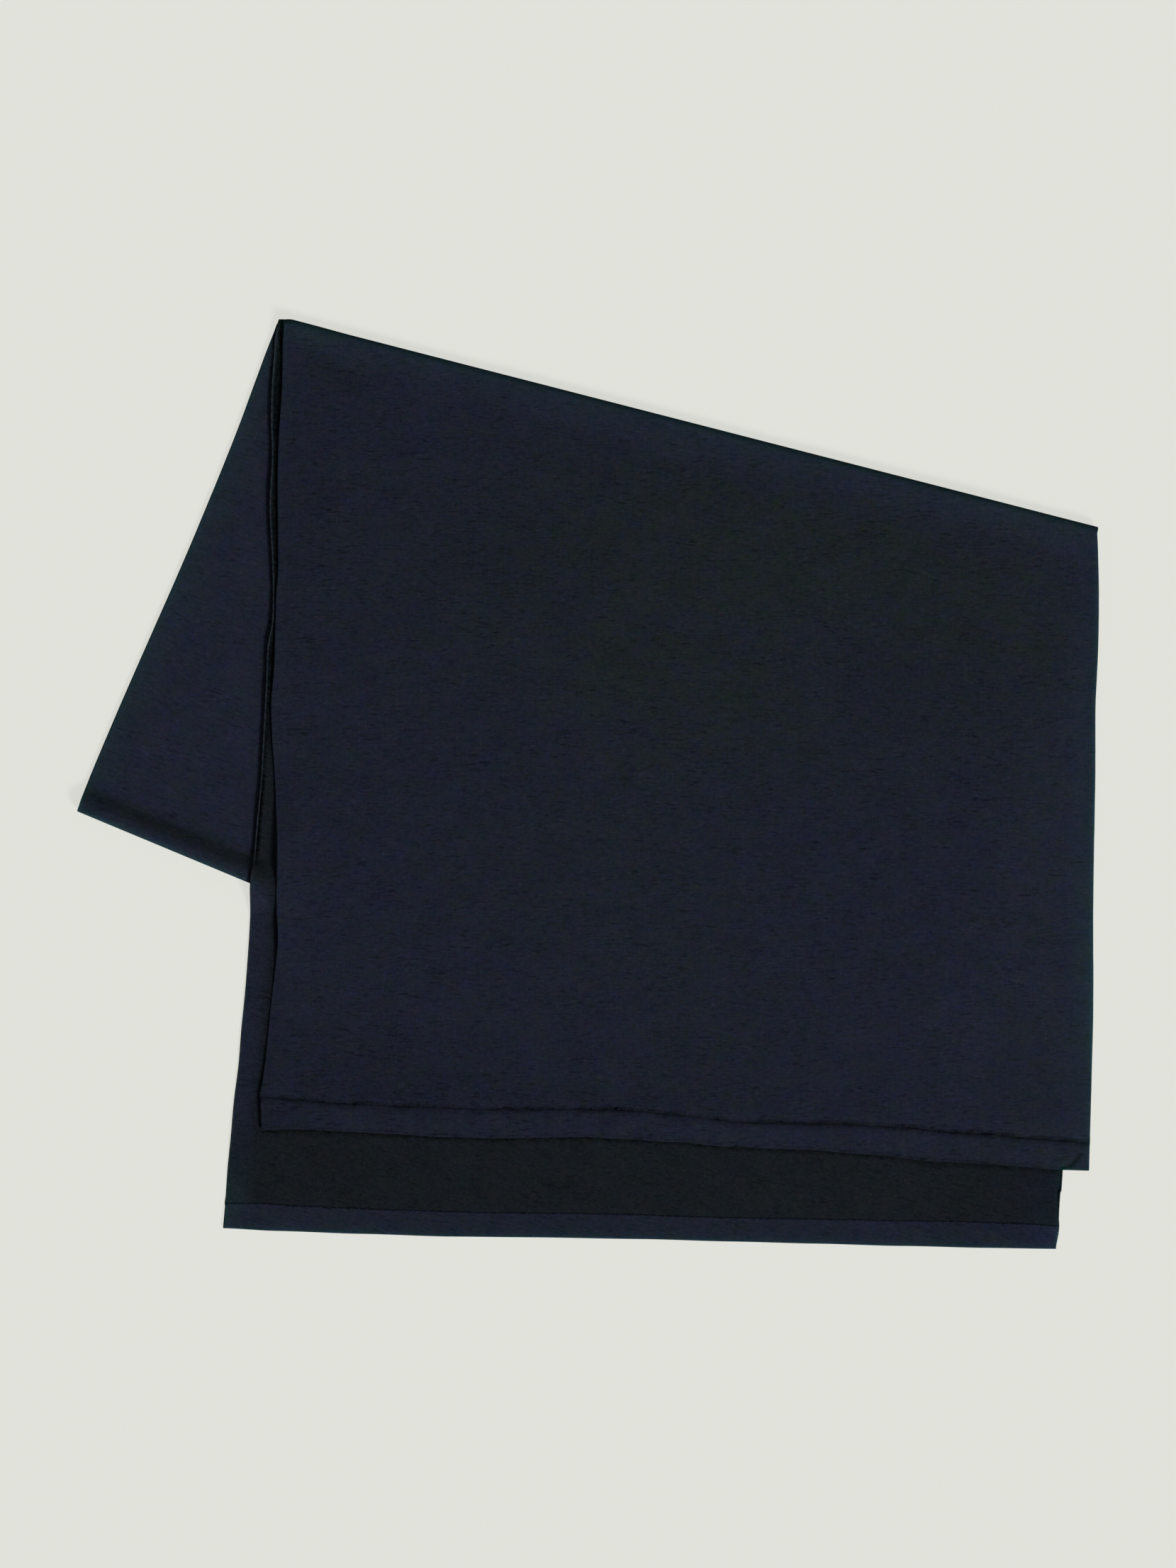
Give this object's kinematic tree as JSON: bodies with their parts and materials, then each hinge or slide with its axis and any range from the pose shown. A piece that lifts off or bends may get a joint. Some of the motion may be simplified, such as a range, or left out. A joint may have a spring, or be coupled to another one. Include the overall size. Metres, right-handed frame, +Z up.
{
  "type": "wool scarf",
  "caption": "Long rectangular fine-knit wool scarf with plain hems, to wear round the neck; laid flat, doubled and turned over a slanting top fold, with a flap showing at one side.",
  "frame": {"origin": "middle of the folded scarf's outline, on the surface that it lies on", "axes": "+Z up, out of the surface; +X towards the panels' right edges; +Y towards the slanting top fold"},
  "size_m": [0.7344, 0.668, 0.008],
  "materials": {
    "wool_jersey": "fine wool jersey, dark navy, matt, with fine slubs",
    "wool_jersey_hem": "the same jersey, doubled and blind-stitched"
  },
  "bodies": {
    "root": {"scarf_cloth": "wool_jersey", "front_hem": "wool_jersey_hem", "back_hem": "wool_jersey_hem"}
  },
  "joints": []
}
